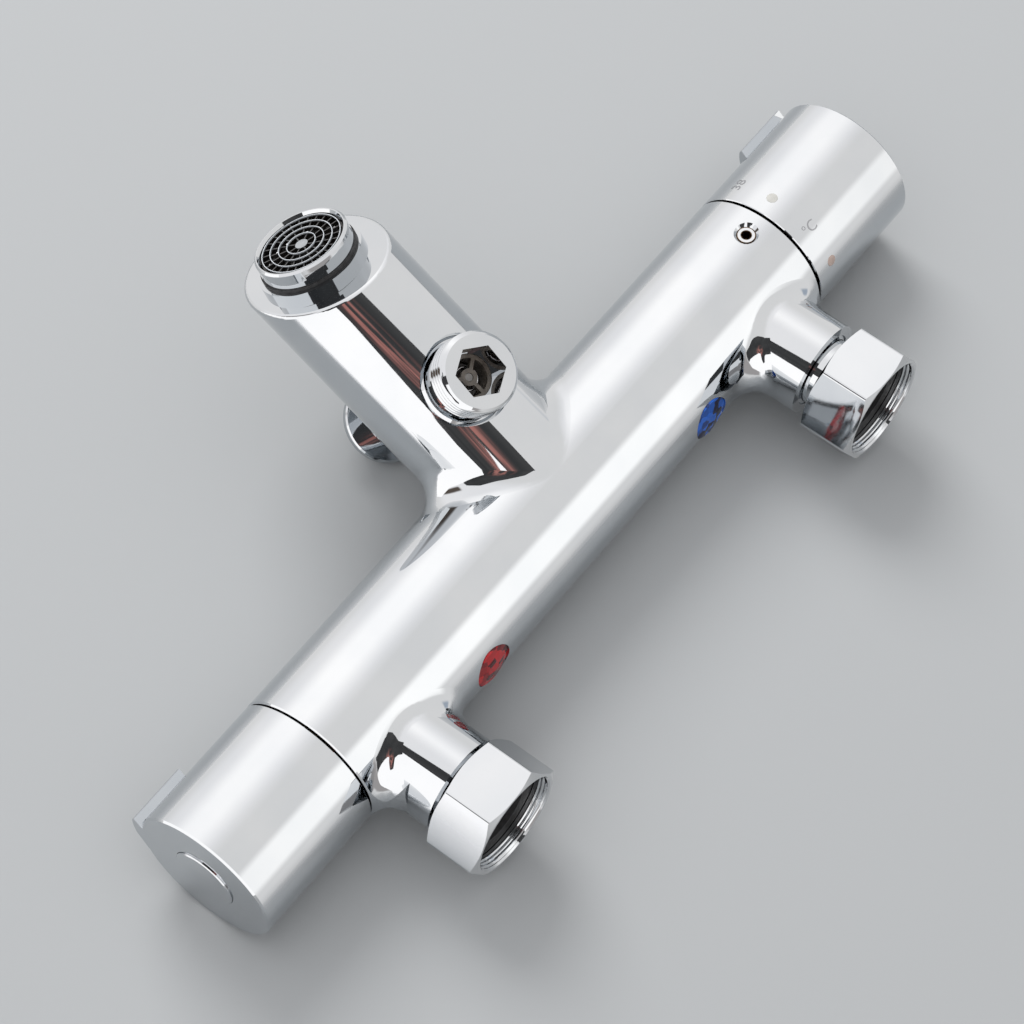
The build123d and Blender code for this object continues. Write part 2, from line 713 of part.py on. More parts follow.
def hose_outlet_nipple():
    """Threaded nipple with a hexagon socket, seated in a spotface under the spout."""
    top = outlet_reach
    ring = spotface_at + 1.8
    body = turned([
        (0, chamber_low), (chamber_r - 0.6, chamber_low), (chamber_r - fit, chamber_low + 0.6),
        (chamber_r - fit, spotface_at + 0.02), (spotface_r - 0.35, spotface_at + 0.02), (spotface_r - 0.35, ring - 0.7),
        (spotface_r - 1.05, ring), (outlet_face_r, ring), (outlet_face_r, spout_r - 0.5), (outlet_thread_r, spout_r + 0.1),
        (outlet_thread_r, top - 1.0), (outlet_face_r, top), (0, top)], outlet_plane)
    bore = turned([
        (0, chamber_low - 1), (4.6, chamber_low - 1), (4.6, outlet_check_low), (outlet_check_r + fit, outlet_check_low),
        (outlet_check_r + fit, top - 5), (0, top - 5)], outlet_plane)
    socket = prism(outlet_plane, outlet_socket, top - socket_deep, top + 1, socket_turn)
    return body - bore - socket


outlet_check_r = 5.85
outlet_check_low = 11.0
outlet_check_high = outlet_reach - socket_deep - 0.4


# Aerator

def aerator_seal():
    return tube(aerator_plane, aerator_r + 0.9, aerator_thread_r + 0.1, collar_high + 0.02, collar_high + 0.85)


def aerator_housing():
    """Screwed sleeve with a proud rim, notched for a spanner."""
    low = -8.0
    foot = collar_high + 0.88
    body = turned([
        (grille_r - 1.0, low), (aerator_thread_r - 0.5, low), (aerator_thread_r, low + 0.5), (aerator_thread_r, foot),
        (aerator_r, foot), (aerator_r, aerator_high - 0.5), (aerator_r - 0.5, aerator_high),
        (grille_r + 0.6, aerator_high), (grille_r + 0.1, aerator_high - 0.8), (grille_r + 0.1, 3.2),
        (grille_r - 1.0, 2.4)], aerator_plane)
    for turn in (60, 150, 240, 330):
        body = body - slab(aerator_plane, 3.0, 6.0, foot + 1.3, foot + 3.0, (aerator_r + 0.9, 0), turn)
    return body


def aerator_insert():
    """Grille of concentric rings on radial ribs."""
    top = aerator_high - 0.6
    low = top - grille_deep
    grille = tube(aerator_plane, grille_r, grille_rings[0] - grille_line / 2, 3.25, low)
    grille = grille + tube(aerator_plane, grille_rings[0] + grille_line / 2, grille_rings[0] - grille_line / 2, low - 0.1, top)
    grille = grille + rod(aerator_plane, grille_hub_r, low, top)
    for ring in grille_rings[1:]:
        grille = grille + tube(aerator_plane, ring + grille_line / 2, ring - grille_line / 2, low, top)
    inner = list(grille_rings[1:]) + [grille_hub_r]
    for outer_r, inner_r, count in zip(grille_rings, inner, grille_ribs):
        for k in range(count):
            long = outer_r - inner_r + grille_line / 2
            rib = slab(aerator_plane, long, rib_line, low, top - rib_drop, ((outer_r + inner_r) / 2, 0),
                       360 * (k + 0.5) / count)
            grille = grille + rib
    return grille


def aerator_screen():
    """Fine domed screen behind the grille."""
    low = -6.0
    return turned([
        (0, 1.8), (grille_r - 1.4, 0.6), (grille_r - 1.1, 0.6), (grille_r - 1.1, low), (grille_r - 1.7, low),
        (grille_r - 1.7, 0.1), (0, 1.2)], aerator_plane)


def export(name, shape):
    shape.label = name
    export_step(shape, "parts/" + name + ".step")


def main():
    os.makedirs("parts", exist_ok=True)
    nodes = {
        "valve_body": valve_body(),
        "grub_screw": grub_screw(),
        "mixed_water_tube": mixed_water_tube(),
        "flow_handle": handle(-1),
        "flow_handle_cap": handle_cap(-1),
        "flow_handle_screw": handle_screw(-1),
        "flow_adaptor": adaptor(-1),
        "flow_cartridge_housing": flow_cartridge_housing(),
        "flow_cartridge_orings": flow_cartridge_orings(),
        "flow_disc_seal": flow_disc_seal(),
        "flow_fixed_disc": flow_fixed_disc(),
        "flow_moving_disc": flow_moving_disc(),
        "flow_spindle": flow_spindle(),
        "temperature_handle": temperature_handle(),
        "temperature_handle_cap": handle_cap(1),
        "temperature_handle_screw": handle_screw(1),
        "temperature_adaptor": adaptor(1),
        "temperature_stop_ring": temperature_stop_ring(),
        "temperature_cartridge_housing": temperature_cartridge_housing(),
        "temperature_cartridge_orings": temperature_cartridge_orings(),
        "temperature_spindle": temperature_spindle(),
        "regulating_nut": regulating_nut(),
        "wax_element": wax_element(),
        "regulating_slide": regulating_slide(),
        "regulating_spring": regulating_spring(),
        "diverter_knob": diverter_knob(),
        "diverter_stem": diverter_stem(),
        "diverter_valve": diverter_valve(),
        "diverter_bonnet": diverter_bonnet(),
        "diverter_orings": diverter_orings(),
        "hose_outlet_nipple": hose_outlet_nipple(),
        "outlet_check_housing": check_housing(knob_plane, outlet_check_r, -outlet_check_high, -outlet_check_low),
        "outlet_check_poppet": check_poppet(knob_plane, outlet_check_r, -outlet_check_high, -outlet_check_low),
        "outlet_check_spring": check_spring(knob_plane, -outlet_check_high, -outlet_check_low),
        "aerator_seal": aerator_seal(),
        "aerator_housing": aerator_housing(),
        "aerator_insert": aerator_insert(),
        "aerator_screen": aerator_screen(),
    }
    for water, side in (("hot", -1), ("cold", 1)):
        nodes[water + "_index_insert"] = index_insert(side)
        nodes[water + "_inlet_shank"] = union_shank(side)
        nodes[water + "_union_nut"] = union_nut(side)
        nodes[water + "_seal_washer"] = seal_washer(side)
        nodes[water + "_check_housing"] = check_housing(inlet_plane(side), check_r, check_low, check_high)
        nodes[water + "_check_poppet"] = check_poppet(inlet_plane(side), check_r, check_low, check_high)
        nodes[water + "_check_spring"] = check_spring(inlet_plane(side), check_low, check_high)
    for name, shape in nodes.items():
        export(name, shape)


main()
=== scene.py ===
import json
import math

import bpy
from mathutils import Matrix, Vector


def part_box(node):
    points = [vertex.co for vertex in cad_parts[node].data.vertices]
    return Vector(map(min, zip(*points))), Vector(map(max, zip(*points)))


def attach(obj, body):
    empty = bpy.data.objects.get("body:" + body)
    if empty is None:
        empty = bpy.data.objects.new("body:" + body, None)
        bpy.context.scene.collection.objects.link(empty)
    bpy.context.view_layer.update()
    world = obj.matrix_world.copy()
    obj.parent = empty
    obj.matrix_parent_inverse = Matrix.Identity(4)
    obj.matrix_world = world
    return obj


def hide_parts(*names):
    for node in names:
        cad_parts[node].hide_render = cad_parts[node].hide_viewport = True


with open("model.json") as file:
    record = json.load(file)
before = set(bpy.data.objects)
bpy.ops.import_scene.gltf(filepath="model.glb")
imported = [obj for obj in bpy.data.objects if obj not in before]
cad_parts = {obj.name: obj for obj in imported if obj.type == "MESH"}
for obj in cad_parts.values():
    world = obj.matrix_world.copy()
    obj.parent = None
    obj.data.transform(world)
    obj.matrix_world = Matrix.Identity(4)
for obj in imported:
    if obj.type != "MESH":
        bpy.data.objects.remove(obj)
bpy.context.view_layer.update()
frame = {"nodes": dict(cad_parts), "record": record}

# Looks of an exposed bath and shower mixing valve. Metres, in the part's own frame: +X points to the
# temperature handle, -Y to the user, +Z up on the wall. The valve lies upside down on the floor, so
# the floor is on its +Z side and the camera on its -Z side.

# Every thread: the facets of one turn, the half widths of the ridge's foot and tip and the stretch over
# which it sinks into its wall at each end, all as shares of the pitch, and what is left of it at its ends
THREAD_STEPS = 64
THREAD_FOOT = 0.47
THREAD_TIP = 0.06
THREAD_FADE = 0.35
THREAD_END = 0.15

# The thread in the mouth of each union nut
NUT_PITCH = 0.00100
NUT_ROOT_R = 0.01324
NUT_CREST_R = 0.01268
MOUTH_CHAMFER = 0.0006

# The hose nipple leaves the spout 60 degrees below the level. Its thread lies between two places along it,
# and the ridge's foot sinks a little into the nipple.
NIPPLE_AT = Vector((0.0, -0.076609, -0.019))
NIPPLE_WAY = Vector((0.0, 0.5, -0.8660254))
NIPPLE_CREST_R = 0.01048
NIPPLE_ROOT_R = 0.0094
NIPPLE_THREAD = (0.0190, 0.0268)
HOSE_PITCH = 0.00150
RIDGE_SUNK = 0.00005
SAME_RADIUS = 0.00002

# The stream leaves the aerator this way. The insert turns from dark painted shade deeper in to pale between
# two reaches along it.
# The faces of a ring lie within a reach of its radius, and it keeps a share of its width. The hub is set
# back by its drop, and the seal is turned down to its radius.
STREAM_AT = Vector((0.0, -0.119513, -0.047012))
STREAM_WAY = Vector((0.0, -0.5, -0.8660254))
GRILLE_FADE = (0.1000, 0.1003)
# Dark painted shade between the grille's rings, deeper in along the stream
GRILLE_PAINTED_SHADE = (0.012, 0.010, 0.009)
RING_RADII = (0.0107, 0.0085, 0.0062, 0.0039)
RING_REACH = 0.00022
RING_NARROW = 0.5
HUB_R = 0.00175
HUB_DROP = 0.0003
SEAL_R = 0.0131

# The grub screw's axis, the radii between which its face is bright chrome, with brown painted shade inside
# and outside them, and how softly the chrome ends
GRUB_AT = (0.0857, -0.0437, 0.0)
GRUB_RIM = (0.00150, 0.00225)
GRUB_SOFT = 0.00006
GRUB_BRIGHT = (0.55, 0.57, 0.59)

# Painted facets of the index inserts, as cells of painted highlight and shade
PAINTED_FACETS_A_METRE = 420

# Marks on the temperature handle: places along the bar, and turns about its axis from the wall side
HANDLE_R = 0.01995
BAR_AXIS_Y = -0.0437
NUMBER_AT = (0.0968, 126)
UNIT_AT = (0.0966, 57)
PALE_DOT_AT = (0.0986, 93.5)
WARM_DOT_AT = (0.0992, 24)
MARK_HEIGHT = 0.0042
MARK_DEPTH = 0.00012
MARK_PROUD = 0.00003
DOT_R = 0.0015

# The numbers of the inputs and of the output by which a Mix node mixes colours
MIX_SHARE = 0
MIX_UNDER = 6
MIX_OVER = 7
MIX_RESULT = 2


# Node helpers
def opaque(tone):
    """A tone as the four numbers of a colour socket."""
    return (*tone, 1.0)


def feed(tree, socket, value):
    """Gives a socket another node's output, a plain number, or a plain tone."""
    if isinstance(value, bpy.types.NodeSocket):
        tree.links.new(value, socket)
    elif isinstance(value, tuple):
        socket.default_value = opaque(value)
    else:
        socket.default_value = value


def new_material(name):
    """An empty node material, with its tree and its Principled shader."""
    material = bpy.data.materials.new(name)
    material.use_nodes = True
    tree = material.node_tree
    return material, tree, tree.nodes["Principled BSDF"]


def object_coordinates(tree):
    """The place on the part, which patterns read."""
    return tree.nodes.new("ShaderNodeTexCoord").outputs["Object"]


def split_axes(tree, place):
    """The X, Y and Z of a place or a direction."""
    node = tree.nodes.new("ShaderNodeSeparateXYZ")
    tree.links.new(place, node.inputs[0])
    return node.outputs


def noise(tree, scale, detail=3.0):
    """A noise pattern over the part, with its scale in turns a metre."""
    pattern = tree.nodes.new("ShaderNodeTexNoise")
    pattern.inputs["Scale"].default_value = scale
    pattern.inputs["Detail"].default_value = detail
    tree.links.new(object_coordinates(tree), pattern.inputs["Vector"])
    return pattern.outputs["Fac"]


def spread(tree, source, low, high, start=0.3, end=0.7):
    """A pattern's values from start to end, spread over low to high."""
    node = tree.nodes.new("ShaderNodeMapRange")
    node.inputs["From Min"].default_value = start
    node.inputs["From Max"].default_value = end
    node.inputs["To Min"].default_value = low
    node.inputs["To Max"].default_value = high
    tree.links.new(source, node.inputs["Value"])
    return node.outputs["Result"]


def soft_step(tree, value, edge, soft):
    """0 below the edge and 1 above it, over a soft width."""
    node = tree.nodes.new("ShaderNodeMapRange")
    node.interpolation_type = "SMOOTHSTEP"
    node.inputs["From Min"].default_value = edge - soft
    node.inputs["From Max"].default_value = edge + soft
    tree.links.new(value, node.inputs["Value"])
    return node.outputs["Result"]


def calculate(tree, operation, *values, clamp=False):
    """One Math node on sockets or plain numbers."""
    node = tree.nodes.new("ShaderNodeMath")
    node.operation = operation
    node.use_clamp = clamp
    for socket, value in zip(node.inputs, values):
        feed(tree, socket, value)
    return node.outputs[0]


def rest_of(tree, share):
    """What a share leaves of 1."""
    return calculate(tree, "SUBTRACT", 1.0, share)


def inside(tree, value, limits, soft):
    """1 between two limits and 0 outside them, with soft edges."""
    above = soft_step(tree, value, limits[0], soft)
    below = rest_of(tree, soft_step(tree, value, limits[1], soft))
    return calculate(tree, "MULTIPLY", above, below)


def vector_math(tree, operation, place, other=None):
    """One Vector Math node on a place, with a plain vector where it takes two."""
    node = tree.nodes.new("ShaderNodeVectorMath")
    node.operation = operation
    tree.links.new(place, node.inputs[0])
    if other is not None:
        node.inputs[1].default_value = other
    return node.outputs


def two_tone(tree, source, dark, light, start=0.35, end=0.65):
    """A pattern's values turned into a colour between two tones."""
    node = tree.nodes.new("ShaderNodeValToRGB")
    node.color_ramp.elements[0].position = start
    node.color_ramp.elements[0].color = opaque(dark)
    node.color_ramp.elements[1].position = end
    node.color_ramp.elements[1].color = opaque(light)
    tree.links.new(source, node.inputs["Fac"])
    return node.outputs["Color"]


def lay_colour(tree, share, under, over):
    """One colour laid over another by a share from 0 to 1. Each is a pattern or a plain tone."""
    mix = tree.nodes.new("ShaderNodeMix")
    mix.data_type = "RGBA"
    feed(tree, mix.inputs[MIX_SHARE], share)
    feed(tree, mix.inputs[MIX_UNDER], under)
    feed(tree, mix.inputs[MIX_OVER], over)
    return mix.outputs[MIX_RESULT]


def mix_shaders(tree, share, first, second):
    """The first shader where the share is 0, and the second where it is 1."""
    mix = tree.nodes.new("ShaderNodeMixShader")
    tree.links.new(share, mix.inputs["Fac"])
    tree.links.new(first.outputs[0], mix.inputs[1])
    tree.links.new(second.outputs[0], mix.inputs[2])
    return mix


def bump(tree, shader, height, strength, distance):
    """Fine relief on a surface."""
    node = tree.nodes.new("ShaderNodeBump")
    node.inputs["Strength"].default_value = strength
    node.inputs["Distance"].default_value = distance
    tree.links.new(height, node.inputs["Height"])
    tree.links.new(node.outputs["Normal"], shader.inputs["Normal"])


def surface(name, tones, tone_scale, gloss, gloss_scale, relief, metallic=0.0):
    """A material of uneven tone and roughness. Its relief is a scale, a strength and a depth."""
    material, tree, shader = new_material(name)
    shader.inputs["Metallic"].default_value = metallic
    tree.links.new(two_tone(tree, noise(tree, tone_scale), *tones), shader.inputs["Base Color"])
    tree.links.new(spread(tree, noise(tree, gloss_scale), *gloss), shader.inputs["Roughness"])
    scale, strength, depth = relief
    bump(tree, shader, noise(tree, scale), strength, depth)
    return material


# Finishes
def chrome_plate():
    """Polished chrome: nearly a mirror, with the faint waviness of a polished casting."""
    material, tree, shader = new_material("chrome_plate")
    shader.inputs["Metallic"].default_value = 1.0
    tone = two_tone(tree, noise(tree, 60), (0.535, 0.562, 0.588), (0.56, 0.584, 0.606))
    tree.links.new(tone, shader.inputs["Base Color"])
    tree.links.new(spread(tree, noise(tree, 140, detail=4), 0.02, 0.05), shader.inputs["Roughness"])
    bump(tree, shader, noise(tree, 90, detail=2), strength=0.05, distance=0.0002)
    return material


def turned_brass():
    """Bare turned brass of the cartridges, with fine tool marks."""
    return surface("turned_brass", tones=((0.60, 0.44, 0.20), (0.76, 0.60, 0.31)), tone_scale=300,
                   gloss=(0.22, 0.38), gloss_scale=900, relief=(2500, 0.1, 0.00005), metallic=1.0)


def bright_steel():
    """Stainless steel of the springs and screws."""
    return surface("bright_steel", tones=((0.50, 0.50, 0.51), (0.66, 0.66, 0.67)), tone_scale=500,
                   gloss=(0.18, 0.32), gloss_scale=1500, relief=(3000, 0.1, 0.00003), metallic=1.0)


def black_rubber():
    """Matt rubber of seals and o-rings."""
    return surface("black_rubber", tones=((0.012, 0.012, 0.013), (0.030, 0.030, 0.032)), tone_scale=700,
                   gloss=(0.45, 0.65), gloss_scale=1200, relief=(4000, 0.2, 0.00004))


def plastic(name, dark, light, rough):
    """Moulded plastic in one colour, with a slight unevenness of tone and gloss."""
    return surface(name, tones=(dark, light), tone_scale=350, gloss=(rough * 0.8, rough * 1.2),
                   gloss_scale=900, relief=(1800, 0.08, 0.00005))


def screen_painted_shade():
    """The fine screen behind the grille, painted dark as shade."""
    return surface("screen_painted_shade", tones=((0.010, 0.008, 0.007), (0.045, 0.036, 0.030)), tone_scale=900,
                   gloss=(0.35, 0.55), gloss_scale=1500, relief=(3000, 0.2, 0.00005), metallic=0.6)


def etched_chrome():
    """Chrome that a mark is etched in: a little greyer and duller."""
    return surface("etched_chrome", tones=((0.29, 0.30, 0.32), (0.37, 0.38, 0.40)), tone_scale=2000,
                   gloss=(0.28, 0.42), gloss_scale=4000, relief=(6000, 0.2, 0.00002), metallic=1.0)


def facet_shaded_jewel(name, dark, light):
    """Clear coloured plastic with cut facets, each painted lighter or darker as painted highlight and
    shade.
    """
    material, tree, shader = new_material(name)
    facets = tree.nodes.new("ShaderNodeTexVoronoi")
    facets.inputs["Scale"].default_value = PAINTED_FACETS_A_METRE
    tree.links.new(object_coordinates(tree), facets.inputs["Vector"])
    # Lighter and darker cells: painted highlight and shade on the facets
    tone = two_tone(tree, facets.outputs["Color"], dark, light, start=0.30, end=0.75)
    tree.links.new(tone, shader.inputs["Base Color"])
    tree.links.new(spread(tree, noise(tree, 900), 0.03, 0.07), shader.inputs["Roughness"])
    shader.inputs["Specular IOR Level"].default_value = 0.25
    shader.inputs["Coat Weight"].default_value = 0.08
    bump(tree, shader, noise(tree, 500), strength=0.05, distance=0.0001)
    return material


def grille_plastic():
    """The aerator's insert: pale on the edges that face out, with dark painted shade between them."""
    material, tree, shader = new_material("grille_plastic")
    reach = vector_math(tree, "DOT_PRODUCT", object_coordinates(tree), STREAM_WAY)["Value"]
    pale = two_tone(tree, noise(tree, 350), (0.60, 0.63, 0.66), (0.72, 0.75, 0.78))
    outer = spread(tree, reach, 0.0, 1.0, *GRILLE_FADE)
    # Painted shade deeper in, and the pale plastic on the outer faces
    tree.links.new(lay_colour(tree, outer, GRILLE_PAINTED_SHADE, pale), shader.inputs["Base Color"])
    tree.links.new(spread(tree, noise(tree, 900), 0.2, 0.32), shader.inputs["Roughness"])
    bump(tree, shader, noise(tree, 1800), strength=0.08, distance=0.00005)
    return material


def grub_chrome():
    """The grub screw: chrome on its rim, and brown steel darkened as painted shade in its socket and below
    its rim.
    """
    material, tree, shader = new_material("grub_chrome")
    shader.inputs["Metallic"].default_value = 1.0
    place = vector_math(tree, "SUBTRACT", object_coordinates(tree), GRUB_AT)["Vector"]
    level = vector_math(tree, "MULTIPLY", place, (1.0, 1.0, 0.0))["Vector"]
    rim = inside(tree, vector_math(tree, "LENGTH", level)["Value"], GRUB_RIM, GRUB_SOFT)
    # Dark brown painted shade in the socket and in the gap below the rim
    brown = two_tone(tree, noise(tree, 1500), (0.020, 0.011, 0.006), (0.16, 0.10, 0.055))
    tree.links.new(lay_colour(tree, rim, brown, GRUB_BRIGHT), shader.inputs["Base Color"])
    tree.links.new(spread(tree, noise(tree, 900), 0.08, 0.2), shader.inputs["Roughness"])
    bump(tree, shader, noise(tree, 2500), strength=0.1, distance=0.00003)
    return material


FINISHES = {
    "chrome": chrome_plate(),
    "brass": turned_brass(),
    "steel": bright_steel(),
    "black_rubber": black_rubber(),
    "ceramic": plastic("lapped_ceramic", (0.86, 0.85, 0.82), (0.93, 0.92, 0.90), rough=0.18),
    "white_plastic": plastic("white_plastic", (0.76, 0.76, 0.73), (0.86, 0.86, 0.84), rough=0.4),
    "dark_plastic": plastic("dark_plastic", (0.10, 0.084, 0.068), (0.20, 0.17, 0.14), rough=0.25),
    "check_plastic": plastic("check_plastic", (0.20, 0.19, 0.18), (0.34, 0.32, 0.30), rough=0.3),
    "grille_plastic": grille_plastic(),
    "red_plastic": facet_shaded_jewel("red_plastic", (0.10, 0.001, 0.004), (0.72, 0.016, 0.022)),
    "blue_plastic": facet_shaded_jewel("blue_plastic", (0.001, 0.006, 0.05), (0.016, 0.17, 0.80)),
}

# Solids whose finish differs from the rest of their slot
NODE_FINISHES = {
    # The screen behind the grille is painted dark as shade
    "aerator_screen": screen_painted_shade(),
    "grub_screw": grub_chrome(),
}

MARKS = {
    "etched": etched_chrome(),
    "pale": plastic("pale_paint", (0.56, 0.55, 0.51), (0.66, 0.65, 0.61), rough=0.35),
    "warm": plastic("warm_paint", (0.66, 0.50, 0.43), (0.78, 0.60, 0.52), rough=0.35),
}


def finish_nodes():
    """Gives each solid of the part the finish of its own material slot, or its own one."""
    for part in frame["record"]["subparts"]:
        node = frame["nodes"][part["node"]]
        for slot in node.material_slots:
            slot.material = NODE_FINISHES.get(part["node"], FINISHES[part["material_slot"]])


# Modelling helpers
def deselect():
    """Leaves nothing selected, so that an operator acts on the new piece alone."""
    bpy.ops.object.select_all(action="DESELECT")


def facing(way, at):
    """The placement that turns +Z to a direction and moves the origin to a place."""
    return Matrix.Translation(at) @ way.to_track_quat("Z", "Y").to_matrix().to_4x4()


def off_axis(point, at, way):
    """The nearest place to a point on an axis, and the step from there to the point."""
    foot = at + (point - at).dot(way) * way
    return foot, point - foot


def apply_modifier(piece, kind, **settings):
    """Adds one modifier to a piece and applies it."""
    modifier = piece.modifiers.new(kind.lower(), kind)
    for name, value in settings.items():
        setattr(modifier, name, value)
    bpy.context.view_layer.objects.active = piece
    bpy.ops.object.modifier_apply(modifier=modifier.name)


def smooth(piece, degrees=35):
    """Smooth shading that keeps the sharp edges."""
    deselect()
    piece.select_set(True)
    bpy.context.view_layer.objects.active = piece
    bpy.ops.object.shade_smooth_by_angle(angle=math.radians(degrees))


def dress(piece, name, finish, body):
    """Names a finished piece, gives it its material and slot, and lets it ride on its body."""
    piece.name = name
    piece.data.materials.clear()
    piece.data.materials.append(finish)
    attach(piece, body)


def merged_copy(node):
    """A copy of one solid of the part, with its vertices merged, for finer shaping."""
    deselect()
    piece = frame["nodes"][node].copy()
    piece.data = piece.data.copy()
    bpy.context.scene.collection.objects.link(piece)
    piece.parent = None
    bpy.context.view_layer.objects.active = piece
    piece.select_set(True)
    bpy.ops.mesh.customdata_custom_splitnormals_clear()
    bpy.ops.object.mode_set(mode="EDIT")
    bpy.ops.mesh.select_all(action="SELECT")
    bpy.ops.mesh.remove_doubles(threshold=1e-6)
    bpy.ops.object.mode_set(mode="OBJECT")
    return piece


# Threads
def thread_ridge(root, crest, pitch, turns):
    """A thread's ridge about the Z axis, rising from 0, which sinks into its wall at both ends."""
    deselect()
    bpy.ops.mesh.primitive_circle_add(vertices=4, radius=pitch)
    ridge = bpy.context.object
    foot = pitch * THREAD_FOOT
    tip = pitch * THREAD_TIP
    corners = ((root, -foot), (root, foot), (crest, tip), (crest, -tip))
    for vertex, (out, up) in zip(ridge.data.vertices, corners):
        vertex.co = (out, 0.0, up)
    apply_modifier(ridge, "SCREW", axis="Z", angle=math.tau, screw_offset=pitch, iterations=turns,
                   steps=THREAD_STEPS, render_steps=THREAD_STEPS, use_smooth_shade=True)
    bpy.ops.object.mode_set(mode="EDIT")
    bpy.ops.mesh.select_all(action="SELECT")
    bpy.ops.mesh.fill_holes(sides=4)
    bpy.ops.mesh.normals_make_consistent(inside=False)
    bpy.ops.object.mode_set(mode="OBJECT")
    height = pitch * turns
    fade = pitch * THREAD_FADE
    for vertex in ridge.data.vertices:
        out = math.hypot(vertex.co.x, vertex.co.y)
        from_end = min(vertex.co.z, height - vertex.co.z)
        share = min(1.0, max(0.0, from_end / fade + THREAD_END))
        scale = (root + (out - root) * share) / out
        vertex.co.x *= scale
        vertex.co.y *= scale
    smooth(ridge, degrees=80)
    return ridge


def nut_threads():
    """The thread inside each union nut, from its washer to its mouth."""
    for side in ("hot", "cold"):
        nut_low, nut_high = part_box(f"{side}_union_nut")
        washer_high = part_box(f"{side}_seal_washer")[1]
        mouth = nut_high[1] - MOUTH_CHAMFER / 2
        turns = int((mouth - washer_high[1]) / NUT_PITCH - 2 * THREAD_FOOT)
        ridge = thread_ridge(NUT_ROOT_R, NUT_CREST_R, NUT_PITCH, turns)
        middle = (nut_low[0] + nut_high[0]) / 2
        start = Vector((middle, mouth - (turns + THREAD_FOOT) * NUT_PITCH, 0.0))
        along_y = Matrix.Rotation(math.radians(-90), 4, "X")
        ridge.data.transform(Matrix.Translation(start) @ along_y)
        dress(ridge, f"{side}_nut_thread", FINISHES["chrome"], f"{side}_nut")


def hose_thread():
    """The hose outlet: the nipple turned down to the thread's root, and the thread on it."""
    nipple = merged_copy("hose_outlet_nipple")
    for vertex in nipple.data.vertices:
        foot, out = off_axis(vertex.co, NIPPLE_AT, NIPPLE_WAY)
        if abs(out.length - NIPPLE_CREST_R) < SAME_RADIUS:
            vertex.co = foot + out * (NIPPLE_ROOT_R / out.length)
    smooth(nipple)
    dress(nipple, "hose_nipple", FINISHES["chrome"], "valve")
    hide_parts("hose_outlet_nipple")
    start, end = NIPPLE_THREAD
    turns = int((end - start) / HOSE_PITCH)
    ridge = thread_ridge(NIPPLE_ROOT_R - RIDGE_SUNK, NIPPLE_CREST_R, HOSE_PITCH, turns)
    ridge.data.transform(facing(NIPPLE_WAY, NIPPLE_AT + NIPPLE_WAY * (end - turns * HOSE_PITCH)))
    dress(ridge, "hose_nipple_thread", FINISHES["chrome"], "valve")


# Aerator
def fine_grille():
    """The aerator's insert, with its rings narrowed to fine lines and its hub set back."""
    grille = merged_copy("aerator_insert")
    for vertex in grille.data.vertices:
        foot, out = off_axis(vertex.co, STREAM_AT, STREAM_WAY)
        wide = out.length
        for ring in RING_RADII:
            if abs(wide - ring) < RING_REACH:
                vertex.co = foot + out * ((ring + (wide - ring) * RING_NARROW) / wide)
        if wide < HUB_R and vertex.co.dot(STREAM_WAY) > GRILLE_FADE[1]:
            vertex.co -= STREAM_WAY * HUB_DROP
    smooth(grille)
    dress(grille, "fine_grille", FINISHES["grille_plastic"], "valve")
    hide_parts("aerator_insert")


def slim_seal():
    """The aerator's seal, a little slimmer than its solid."""
    seal = merged_copy("aerator_seal")
    for vertex in seal.data.vertices:
        foot, out = off_axis(vertex.co, STREAM_AT, STREAM_WAY)
        if out.length > SEAL_R:
            vertex.co = foot + out * (SEAL_R / out.length)
    smooth(seal)
    dress(seal, "slim_seal", FINISHES["black_rubber"], "valve")
    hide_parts("aerator_seal")


# Marks on the temperature handle
def wrap_on_handle(piece, place):
    """Lays a flat piece on the temperature handle: its X runs along the bar and its Y round it."""
    along, degrees = place
    for vertex in piece.data.vertices:
        turn = math.radians(degrees) + vertex.co.y / HANDLE_R
        out = HANDLE_R + vertex.co.z
        place_y = BAR_AXIS_Y + out * math.cos(turn)
        vertex.co = (along + vertex.co.x, place_y, -out * math.sin(turn))


def handle_text(name, words, place):
    """A number or unit etched in the handle."""
    deselect()
    bpy.ops.object.text_add()
    text = bpy.context.object
    text.data.body = words
    text.data.size = MARK_HEIGHT
    text.data.extrude = MARK_DEPTH / 2
    text.data.align_y = "CENTER"
    bpy.ops.object.convert(target="MESH")
    text.data.transform(Matrix.Translation((0.0, 0.0, MARK_PROUD - MARK_DEPTH / 2)))
    wrap_on_handle(text, place)
    dress(text, name, MARKS["etched"], "temperature_control")


def handle_dot(name, place, finish):
    """A filled dot let into the handle, with a slightly crowned face."""
    deselect()
    bpy.ops.mesh.primitive_uv_sphere_add(segments=32, ring_count=12, radius=DOT_R)
    dot = bpy.context.object
    dot.data.transform(Matrix.Diagonal((1.0, 1.0, MARK_DEPTH / DOT_R, 1.0)))
    wrap_on_handle(dot, place)
    smooth(dot)
    dress(dot, name, finish, "temperature_control")


def handle_marks():
    """The dial marks of the temperature handle."""
    handle_text("temperature_number", "38", NUMBER_AT)
    handle_text("temperature_unit", "\u00b0C", UNIT_AT)
    handle_dot("temperature_dot", PALE_DOT_AT, MARKS["pale"])
    handle_dot("warm_dot", WARM_DOT_AT, MARKS["warm"])


# Floor. In the chrome it gives way to the tent's walls: from nothing at the first place to wholly at the
# second, in Y on the wall side, in Y on the user side, and in X on the flow handle's side.
FLOOR_NORMAL = Vector((0.0, 0.0183, -0.9998))
FLOOR_AT = Vector((0.0, 0.0, 0.0208))
FLOOR_SIZE = 60.0
FLOOR_TONE = (0.50, 0.510, 0.515)
FAR_WALL_SIDE = (-0.015, 0.060)
FAR_USER_SIDE = (-0.090, -0.450)
FAR_FLOW_SIDE = (-0.150, -0.200)


